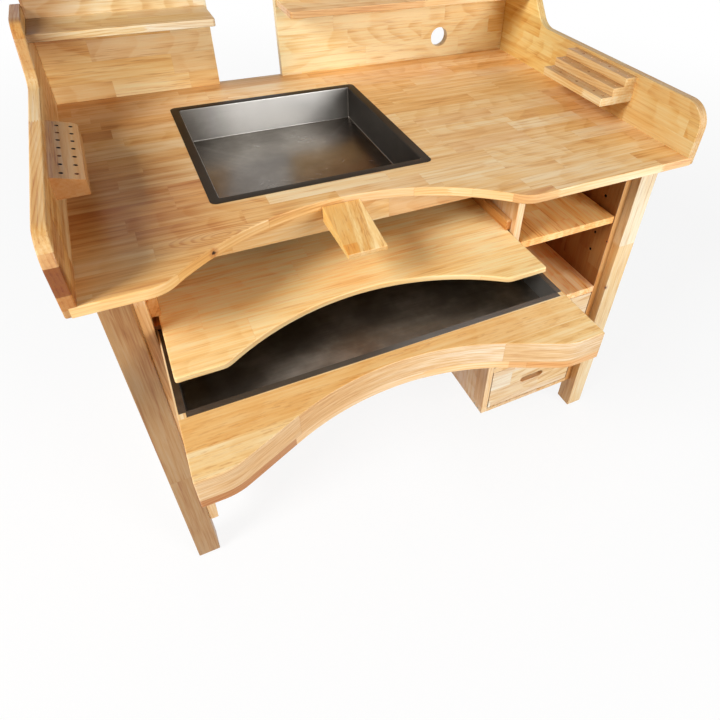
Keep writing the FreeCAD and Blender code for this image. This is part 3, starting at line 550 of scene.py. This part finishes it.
PAN_CENTRE = (-0.14325, 0.14825)
PAN_HALF = 0.199                    # to the inside of the walls
PAN_RIM_TOP = 0.8412
PAN_UNDER_RIM = 0.840
PAN_FLOOR = 0.7642
PAN_SHEET = 0.0012
PAN_LIP = 0.018
PAN_RIM_CORNER = 0.012
PAN_WALL_CORNER = 0.003
PAN_FLOOR_CORNER = 0.002
PAN_BEND = 0.0025
PAN_RIM_EDGE = 0.0004               # rounding of the rim's outer edge
PAN_UNDER_BEND = 0.0008             # bevel between the walls' outside and the rim's underside
PAN_END_RING = -0.6 * PAN_HALF      # inside of the walls, where one face closes the floor
BRUSHING = (7.0, 800.0)             # cells per metre of a noise, along the brushing and across it
WIPING = (16.0, 60.0)
SMEARS = 9.0
BRUSH_DEPTH = 0.00005


def steel(spread, around, seed, stops, rough):
    """Colour, roughness and normal of brushed sheet: fine lines, with clouds of oil and wiping over them.

    spread is the flat sheet's own pair of coordinates, the brushing runs along the first; around is the
    point in space that the clouds follow.
    """
    graph = spread[0].graph
    lines, wiped = (graph.noise(graph.point(spread[0] * cells[0], spread[1] * cells[1], seed), 1.0, 3.0, 0.6)
                    for cells in (BRUSHING, WIPING))
    smears = graph.noise(around, SMEARS, 4.0, 0.62)
    mixed = (lines - 0.5) * 0.35 + smears.ramped(0.3, 0.72) * 0.5 + (wiped - 0.5) * 0.35 + 0.25
    rough = smears * 0.14 + wiped * 0.08 + rough
    return graph.colours(mixed, stops), rough, graph.bump(lines, 0.5, BRUSH_DEPTH)


def carried_round(centre, half, profile):
    """A profile carried round a rounded square: points and the flat sheet's coordinates.

    profile rows are (distance out from the square's side, height, corner radius, length along the
    sheet). Point = centre + corner centre + corner radius times (cos a, sin a), with a stepping through
    each quarter turn; the sheet's coordinates are the square's point plus the same direction times the
    length along the sheet.
    """
    turn = np.linspace(0, np.pi / 2, 9)
    angle = np.concatenate([turn + quarter * np.pi / 2 for quarter in range(4)])
    sign = np.repeat(np.array([(1, 1), (-1, 1), (-1, -1), (1, -1)], float), len(turn), axis=0)
    out, height, corner, run = (np.array(c, float)[:, None] for c in zip(*profile))
    reach = half + out - corner
    facing = np.stack([np.cos(angle), np.sin(angle)], -1)
    flat = centre + sign * reach[..., None] + facing * corner[..., None]
    points = np.dstack([flat, np.broadcast_to(height, flat.shape[:2])])
    sheet = centre + sign * half + facing * run[..., None]
    return points, sheet


def skin(name, points, sheet):
    """A closed mesh over a grid of rings, its two end rings each drawn together by one face."""
    rings, around = points.shape[:2]
    index = np.arange(rings * around).reshape(rings, around)
    after = np.roll(index, -1, axis=1)
    quads = np.stack([index[:-1], after[:-1], after[1:], index[1:]], -1).reshape(-1, 4)
    faces = quads.tolist() + [index[0][::-1].tolist(), index[-1].tolist()]
    mesh = bpy.data.meshes.new(name)
    mesh.from_pydata(points.reshape(-1, 3).tolist(), [], faces)
    corners = np.empty(len(mesh.loops), dtype=np.int32)
    mesh.loops.foreach_get("vertex_index", corners)
    mesh.uv_layers.new(name="sheet").data.foreach_set("uv", sheet.reshape(-1, 2)[corners].ravel())
    mesh.polygons.foreach_set("use_smooth", np.ones(len(mesh.polygons), dtype=bool))
    piece = bpy.data.objects.new(name, mesh)
    bpy.context.scene.collection.objects.link(piece)
    return piece


def bend(out, height, radius, start, end, corner_in, corner_out, run):
    """Profile rows for a bend: an arc of a radius about (out, height) between two angles."""
    steps = np.linspace(0, 1, 5)
    turned = start + (end - start) * steps
    rows = zip(out + radius * np.cos(turned), height + radius * np.sin(turned),
               corner_in + (corner_out - corner_in) * steps, run + radius * abs(end - start) * steps)
    return [tuple(float(v) for v in row) for row in rows]


DOWN, OUTWARD, UP, INWARD = -math.pi / 2, 0.0, math.pi / 2, math.pi
wall_height = PAN_RIM_TOP - PAN_FLOOR
lip_run = wall_height + PAN_LIP
outer_corner = PAN_WALL_CORNER + PAN_SHEET
pan_profile = [(PAN_END_RING, PAN_FLOOR, PAN_FLOOR_CORNER, PAN_END_RING)]
pan_profile += bend(-PAN_BEND, PAN_FLOOR + PAN_BEND, PAN_BEND, DOWN, OUTWARD,
                    PAN_FLOOR_CORNER, PAN_WALL_CORNER, -PAN_BEND)
pan_profile += bend(PAN_BEND, PAN_RIM_TOP - PAN_BEND, PAN_BEND, INWARD, UP,
                    PAN_WALL_CORNER, PAN_WALL_CORNER + PAN_BEND, wall_height - PAN_BEND)
pan_profile += bend(PAN_LIP - PAN_RIM_EDGE, PAN_RIM_TOP - PAN_RIM_EDGE, PAN_RIM_EDGE, UP, OUTWARD,
                    PAN_RIM_CORNER - PAN_RIM_EDGE, PAN_RIM_CORNER, lip_run)
pan_profile += [
    (PAN_LIP, PAN_UNDER_RIM, PAN_RIM_CORNER, lip_run + PAN_SHEET),
    (PAN_SHEET + PAN_UNDER_BEND, PAN_UNDER_RIM, outer_corner + PAN_UNDER_BEND, wall_height + PAN_SHEET),
    (PAN_SHEET, PAN_UNDER_RIM - PAN_UNDER_BEND, outer_corner, wall_height)]
pan_profile += bend(PAN_SHEET - PAN_BEND, PAN_FLOOR - PAN_SHEET + PAN_BEND, PAN_BEND, OUTWARD, DOWN,
                    outer_corner, PAN_FLOOR_CORNER, 0.0)
pan_profile += [(PAN_END_RING, PAN_FLOOR - PAN_SHEET, PAN_FLOOR_CORNER, PAN_END_RING)]
pan = skin("folded_pan", *carried_round(np.array(PAN_CENTRE), PAN_HALF, pan_profile))

PAN_STEEL = [(0.0, paint(112, 108, 102)), (0.5, paint(150, 145, 138)), (1.0, paint(190, 186, 178))]
# Painted reflections: the rim and floor dark brown, the right wall nearly black, and the far wall dark at
# its ends with a pale painted highlight between them.
RIM_REFLECTION = paint(51, 43, 35)
FLOOR_REFLECTION = paint(65, 51, 41)
RIGHT_WALL_REFLECTION = paint(37, 32, 27)
FAR_WALL_REFLECTION = paint(84, 78, 72)
FAR_WALL_GLEAM = paint(226, 224, 220)
PAN_LEFT, PAN_RIGHT = PAN_CENTRE[0] - PAN_HALF, PAN_CENTRE[0] + PAN_HALF
PAN_NEAR, PAN_FAR = PAN_CENTRE[1] - PAN_HALF, PAN_CENTRE[1] + PAN_HALF
ON_RIM = (PAN_RIM_TOP - 0.0014, PAN_RIM_TOP - 0.0002)
OFF_FLOOR = (PAN_FLOOR + 0.0004, PAN_FLOOR + 0.003)
AT_WALL = (-0.003, -0.0005)         # just inside of it
GLEAM_FROM = (PAN_LEFT, PAN_LEFT + 0.17)
GLEAM_TO = (PAN_RIGHT - 0.10, PAN_RIGHT + 0.02)
FAINT_REFLECTION_BEHIND = (PAN_NEAR, PAN_FAR - 0.06)
FAINT_REFLECTION_LEFT_OF = (PAN_LEFT + 0.22, PAN_RIGHT)

pan_look = Graph(bpy.data.materials.new("pan_steel"))
sheet_x, sheet_y, _ = pan_look.split(pan_look.node("ShaderNodeUVMap", {"uv_map": "sheet"}))
pan_x, pan_y, pan_z = pan_look.place()
pan_colour, pan_rough, pan_normal = steel(
    (sheet_x, sheet_y), pan_look.point(pan_x, pan_y, pan_z), 2.0, PAN_STEEL, 0.14)
on_rim = pan_z.ramped(*ON_RIM)
off_floor = pan_z.ramped(*OFF_FLOOR)
on_right = (pan_x - PAN_RIGHT).ramped(*AT_WALL) * off_floor
on_far = (pan_y - PAN_FAR).ramped(*AT_WALL) * off_floor
gleam = pan_x.ramped(*GLEAM_FROM) * (1 - pan_x.ramped(*GLEAM_TO))
fainter_reflection = pan_y.ramped(*FAINT_REFLECTION_BEHIND) * (1 - pan_x.ramped(*FAINT_REFLECTION_LEFT_OF))
# The painted floor reflection is fainter towards the rear left.
for where, tone in (((1 - off_floor) * (0.75 - fainter_reflection * 0.45), FLOOR_REFLECTION),
                    (on_right * 0.85, RIGHT_WALL_REFLECTION), (on_far * (1 - gleam) * 0.8, FAR_WALL_REFLECTION),
                    (on_far * gleam * 0.7, FAR_WALL_GLEAM), (on_rim, RIM_REFLECTION)):
    pan_colour = pan_look.tint(where, pan_colour, tone)
pan.data.materials.append(pan_look.surface(pan_colour, pan_rough + off_floor * 0.22, pan_normal, 1.0))
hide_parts("upper_pan")
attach(pan, "upper_pan")

# ---- Legs and carcass
# Square legs and plain boards of the same staves, glued and dowelled. The legs stand on hard plastic glides.

LEG_KNOT = ((0.5202, -0.2095, 0.468), 0.0045, 0.8)
LEGS = (("front_left_leg", 0.02, (0.49, 0.47, 0.51)), ("front_right_leg", -0.16, (0.92, 1.06, 1.32)),
        ("rear_left_leg", 0.1, (0.9, 0.92, 0.98)), ("rear_right_leg", 0.0, (0.9, 0.92, 0.98)))

for seed, (name, tone, cast) in enumerate(LEGS):
    leg_wood = Grain(name + "_wood", "ZXY", 31.0 + seed, width=0.3, length=1.6, shift=0.37 + seed * 0.21,
                     tone=tone, cast=cast, rosy=0.0, fleck=0.5, ringed=0.3)
    if name == "front_right_leg":
        # Painted shade on the inner face.
        leg_wood.shaded(leg_wood.turned("X", -1), (0.74, 0.58, 0.42)).knot(*LEG_KNOT)
    dress(name, leg_wood.material())

PEG_COLUMNS = (-0.1415, 0.3805)     # bores for the shelf's pins in both walls of the compartment
PEG_LOWEST = 0.5508
PEG_PITCH = 0.0506
PEGS = 4
PEG_BORE = 0.0036
# painted shade in the pins' bores
PEG_HOLE_SHADE = (paint(50, 28, 15), paint(30, 17, 10))
DIVIDER_CORE = (0.2185, 0.219)      # the bores end inside the boards
DIVIDER_FACE = (0.2296, 0.2300)
PANEL_FACE = (0.5020, 0.5024)
PANEL_CORE = (0.513, 0.5135)
INNER_SHADE = (0.34, 0.2, 0.1)
PANEL_SCREW = ((0.502, -0.1845, 0.600), 0.003)
GUIDE_SCREW = ((0.1975, -0.185, 0.7265), 0.0024)

dress("left_side_panel", Grain("left_panel_staves", "ZYX", 41.0, shift=0.2).material())
divider = Grain("divider_staves", "ZYX", 42.0, shift=0.2, cast=(0.84, 0.82, 0.9))
divider.bored("Y", PEG_COLUMNS, "Z", PEG_LOWEST, PEG_PITCH, PEGS, PEG_BORE, PEG_HOLE_SHADE,
              divider.x.ramped(*DIVIDER_CORE))
# Painted sheen: the front edge lighter and paler.
divider.shaded(divider.turned("Y", -1), (1.25, 1.4, 1.6))
divider.shaded(divider.x.ramped(*DIVIDER_FACE), INNER_SHADE)
dress("pedestal_divider", divider.material())
right_panel = Grain("right_panel_staves", "ZYX", 43.0, shift=0.2)
# Painted shade on the front edge, beside the leg.
right_panel.shaded(right_panel.turned("Y", -1), (0.72, 0.54, 0.36))
right_panel.shaded(1 - right_panel.x.ramped(*PANEL_FACE), INNER_SHADE).knot(*PANEL_SCREW)
right_panel.bored("Y", PEG_COLUMNS, "Z", PEG_LOWEST, PEG_PITCH, PEGS, PEG_BORE, PEG_HOLE_SHADE,
                  1 - right_panel.x.ramped(*PANEL_CORE))
dress("right_side_panel", right_panel.material())

for seed, name in enumerate(("pedestal_back", "rear_upper_rail", "rear_lower_rail")):
    dress(name, Grain(name + "_staves", "XZY", 51.0 + seed, shift=0.4).material())
# The floor's and shelf's light casts are painted light that the lamps don't bring into the compartment.
for seed, (name, tone, cast) in enumerate((("compartment_floor", 0.1, (1.4, 1.36, 1.4)),
                                           ("adjustable_shelf", -0.1, (1.28, 1.16, 0.9)),
                                           ("pedestal_base", 0.0, (1.0, 1.08, 1.2)))):
    dress(name, Grain(name + "_staves", "YXZ", 61.0 + seed, shift=0.15, tone=tone, cast=cast, fleck=0.7,
                      banded=0.36).material())
dress("drawer_rail", Grain("drawer_rail_wood", "XYZ", 66.0, width=0.09).material())

STRIPS = ("upper_drawer_left_runner", "upper_drawer_right_runner", "left_arm_runner", "right_arm_runner",
          "left_guide_strip", "right_guide_strip", "left_tray_runner", "right_tray_runner")

for seed, name in enumerate(STRIPS):
    strip_wood = Grain(name + "_wood", "YZX", 71.0 + seed, width=0.2, length=0.9, shift=0.37, tone=0.1,
                       cast=(0.74, 0.58, 0.4), rosy=0.0, fleck=0.8, banded=0.4)
    if name == "right_guide_strip":
        strip_wood.knot(*GUIDE_SCREW)
    dress(name, strip_wood.material())

GLIDE_PLASTIC = [(0.3, paint(38, 37, 36)), (0.7, paint(52, 50, 48))]
GLIDE_SPECKS = 900.0                # cells per metre
ZINC = [(0.0, paint(120, 114, 104)), (1.0, paint(186, 178, 164))]

glide_look = Graph(bpy.data.materials.new("glide_plastic"))
specks = glide_look.noise(glide_look.node("ShaderNodeTexCoord", output="Object"), GLIDE_SPECKS)
dress("foot_glides", glide_look.surface(glide_look.colours(specks, GLIDE_PLASTIC), specks * 0.2 + 0.45,
                                        glide_look.bump(specks, 0.3, 0.0002)))
zinc = Graph(bpy.data.materials.new("zinc_plated_steel"))
zinc_x, zinc_y, zinc_z = zinc.place()
screw_look = zinc.surface(
    *steel((zinc_x, zinc_y + zinc_z), zinc.point(zinc_x, zinc_y, zinc_z), 5.0, ZINC, 0.28), 1.0)
dress("base_screws", screw_look)
dress("shelf_pins", screw_look)

# ---- Apron and bench pin
# The rail under the bow, and the wedge that work is held against, its grain running out to its nose.

PIN_STRIP = 0.0275          # three strips side by side
PIN_SLOPE = 0.315           # the grain follows the sloping top
PIN_SWING = 0.16            # and runs a little across the pin
PIN_LEFT_SEAM = (-0.1188, -0.1184)
PIN_RIGHT_SEAM = (-0.0913, -0.0909)
PIN_INSET = (-0.2305, -0.2300)

apron_wood = Grain("apron_staves", "XZY", 81.0, width=0.06, shift=0.2, cast=(0.92, 0.93, 0.92))
dress("apron_rail", apron_wood.material())
pin_wood = Grain("bench_pin_wood", "YXZ", 82.0, width=PIN_STRIP, length=1.9, shift=0.312, tone=-0.02,
                 spread=0.3, cast=(1.0, 0.93, 0.7), rosy=0.0, fleck=0.45, ringed=0.0, dash=2.0,
                 slope=PIN_SLOPE, swing=PIN_SWING)
pin_top = pin_wood.turned("Z", 1, 0.4)
left_strip = 1 - pin_wood.across.ramped(*PIN_LEFT_SEAM)
right_strip = pin_wood.across.ramped(*PIN_RIGHT_SEAM)
middle_strip = 1 - left_strip.math("MAXIMUM", right_strip)
inset_end = 1 - pin_wood.y.ramped(*PIN_INSET)
streaked = pin_wood.bands * 0.7 + pin_wood.fine * 0.3
for where, cast in ((left_strip * pin_top, (0.9, 0.78, 0.6)),
                    (left_strip * inset_end * pin_top, (0.97, 0.78, 0.5)),
                    (middle_strip * streaked * pin_top, (0.84, 0.68, 0.47)),
                    (right_strip * pin_top, (1.1, 1.24, 1.6)),
                    # painted sheen on the nose, which looks to the front
                    (pin_wood.turned("Y", -1, 0.6, 0.9), (1.0, 1.06, 1.25)),
                    (pin_wood.turned("X", -1, 0.4), (0.96, 0.96, 0.84))):
    pin_wood.shaded(where, cast)
dress("bench_pin", pin_wood.material())

# ---- Arm board
# A thin board of staves that runs out over the tray, with eased edges.

WIDE_STAVE = 0.062
ARM_REAR = (-0.26, -0.18)
ARM_RIGHT = (-0.05, 0.15)

# Painted light: the board's cast lightens it all for light that the lamps don't bring under the worktop's
# edge.
arm_wood = Grain("arm_board_staves", "XYZ", 91.0, width=WIDE_STAVE, length=0.7, shift=0.6, tone=-0.1,
                 spread=0.35, cast=(1.14, 1.2, 1.17), rosy=0.0, fleck=0.3, ringed=0.5, quiet_front=1.0)
arm_right = arm_wood.x.ramped(*ARM_RIGHT)
# Painted warm bounce light on the rear part, under the worktop.
arm_wood.shaded(arm_wood.y.ramped(*ARM_REAR) * (1 - arm_right), (1.05, 0.95, 0.86))
# The right part paler, and a painted sheen on the front edge.
arm_wood.shaded(arm_right, (0.97, 1.04, 1.1)).shaded(arm_wood.turned("Y", -1, 0.4), (1.04, 0.98, 1.0))
dress("arm_board", arm_wood.material())

# ---- Tray drawer
# A bowed plank glued on a thinner floor board, with low walls round the steel catch tray.

PLANK_REAR_STRIP = (-0.4382, -0.4378)
EDGE_LEFT = (-0.35, 0.1)            # where the tone changes along the front edge and along the top
EDGE_RIGHT = (-0.3, 0.1)
PLANK_LEFT = (-0.2, 0.1)
PLANK_RIGHT = (0.0, 0.3)
FLOOR_LEFT_BUTT = (-0.349, -0.347)
FLOOR_FRONT_SEAM = (-0.36, -0.35)
FLOOR_RIGHT_BUTT = (0.042, 0.044)

plank = Grain("tray_plank_staves", "XYZ", 101.0, width=WIDE_STAVE, length=2.4, shift=0.1, tone=-0.06,
              cast=(1.06, 1.08, 1.08), rosy=0.0, fleck=0.36, ringed=0.4, dash=60.0, quiet_front=1.0)
edge, top = plank.sawn_front, 1 - plank.sawn_front
for where, cast in ((plank.y.ramped(*PLANK_REAR_STRIP) * top, (0.94, 0.83, 0.68)),
                    (edge * (1 - plank.x.ramped(*EDGE_LEFT)), (0.78, 0.7, 0.66)),
                    (edge * plank.x.ramped(*EDGE_RIGHT), (0.84, 0.97, 1.42)),
                    (edge * plank.fine, (0.86, 0.76, 0.64)),
                    (top * plank.x.ramped(*PLANK_RIGHT), (1.12, 1.32, 1.64)),
                    (top * (1 - plank.x.ramped(*PLANK_LEFT)), (0.96, 0.94, 0.87))):
    plank.shaded(where, cast)
dress("tray_drawer_front", plank.material())
tray_floor = Grain("tray_floor_staves", "XYZ", 102.0, width=WIDE_STAVE, shift=0.4, cast=(0.96, 0.98, 1.1),
                   quiet_front=1.0)
front_left = (1 - tray_floor.x.ramped(*FLOOR_LEFT_BUTT)) * (1 - tray_floor.y.ramped(*FLOOR_FRONT_SEAM))
tray_floor.shaded(front_left, (0.62, 0.43, 0.29))
tray_floor.shaded(tray_floor.x.ramped(*FLOOR_RIGHT_BUTT), (0.88, 0.75, 0.62))
dress("tray_drawer_floor", tray_floor.material())
for seed, (name, axes) in enumerate((("tray_drawer_left_side", "YZX"), ("tray_drawer_right_side", "YZX"),
                                     ("tray_drawer_inner_front", "XZY"), ("tray_drawer_back", "XZY"))):
    dress(name, Grain(name + "_wood", axes, 103.0 + seed, width=0.2, length=0.5, shift=0.3).material())

TRAY_STEEL = [(0.0, paint(84, 78, 70)), (0.5, paint(116, 109, 101)), (1.0, paint(158, 151, 142))]

# Painted light on the tray's upright walls, paler towards the right; on the lip a painted reflection, dark
# brown at the left to a grey highlight at the right.
TRAY_WALL_LIGHT = paint(176, 176, 174)
LIP_BROWN_REFLECTION = paint(64, 52, 36)
LIP_HIGHLIGHT = paint(112, 112, 112)
TRAY_LIP_HEIGHT = (0.678, 0.681)
PALER_WALL = (-0.4, 0.15)           # from left to right
PALER_LIP = (-0.35, 0.1)

tray_look = Graph(bpy.data.materials.new("tray_steel"))
tray_x, tray_y, tray_z = tray_look.place()
tray_colour, tray_rough, tray_normal = steel(
    (tray_x, tray_y + tray_z), tray_look.point(tray_x, tray_y, tray_z), 4.0, TRAY_STEEL, 0.30)
_, _, tray_up = tray_look.facing()
upright = 1 - tray_up.math("ABSOLUTE").ramped(0.3, 0.7)
tray_colour = tray_look.tint(upright * (tray_x.ramped(*PALER_WALL) * 0.75 + 0.15), tray_colour, TRAY_WALL_LIGHT)
painted_lip = tray_look.tint(tray_x.ramped(*PALER_LIP), LIP_BROWN_REFLECTION, LIP_HIGHLIGHT)
tray_colour = tray_look.tint(tray_z.ramped(*TRAY_LIP_HEIGHT) * (1 - upright) * 0.7, tray_colour, painted_lip)
dress("catch_tray", tray_look.surface(tray_colour, tray_rough, tray_normal, 1.0))

# ---- Pedestal drawers
# Inset fronts with a slotted pull, on plain boxes of thin wood.

SILL_FADE = 0.01

for seed, prefix in enumerate(("upper_drawer", "lower_drawer")):
    front_wood = Grain(prefix + "_front_staves", "XZY", 111.0 + seed, width=0.05, shift=0.3 * seed,
                       tone=-0.16, cast=(0.97, 1.14, 1.52), rosy=0.3)
    bottom, top = (corner[2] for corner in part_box(prefix + "_front"))
    middle = (bottom + top) / 2
    # Painted light on the sill of the pull's slot.
    lit_slot_sill = front_wood.turned("Z", 1, 0.2, 0.6) * (1 - front_wood.z.ramped(middle, middle + SILL_FADE))
    dress(prefix + "_front", front_wood.shaded(lit_slot_sill, (1.22, 0.97, 0.82)).material())
    for step, (part, axes) in enumerate((("_left_side", "YZX"), ("_right_side", "YZX"), ("_back", "XZY"),
                                         ("_floor", "YXZ"))):
        dress(prefix + part, Grain(prefix + part + "_wood", axes, 121.0 + 4 * seed + step, width=0.09,
                                   length=0.5, tone=-0.1).material())
